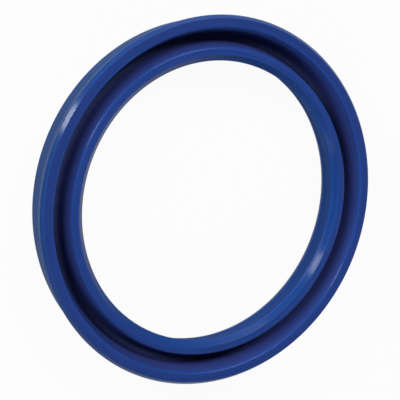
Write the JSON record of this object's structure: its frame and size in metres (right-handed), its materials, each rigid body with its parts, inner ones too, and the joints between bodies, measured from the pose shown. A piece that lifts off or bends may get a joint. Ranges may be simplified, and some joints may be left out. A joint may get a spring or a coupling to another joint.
{
  "type": "u cup seal",
  "caption": "One-piece U cup ring seal for a hydraulic rod or piston: a solid heel, a V groove and two flared, bevelled lips.",
  "frame": {"origin": "centre of the flat heel face, on the seal's axis", "axes": "+Z along the seal's axis, from the heel towards the open groove"},
  "size_m": [0.0772, 0.0772, 0.008],
  "materials": {
    "polyurethane": "satin"
  },
  "bodies": {
    "root": {"seal_ring": "polyurethane"}
  },
  "joints": []
}
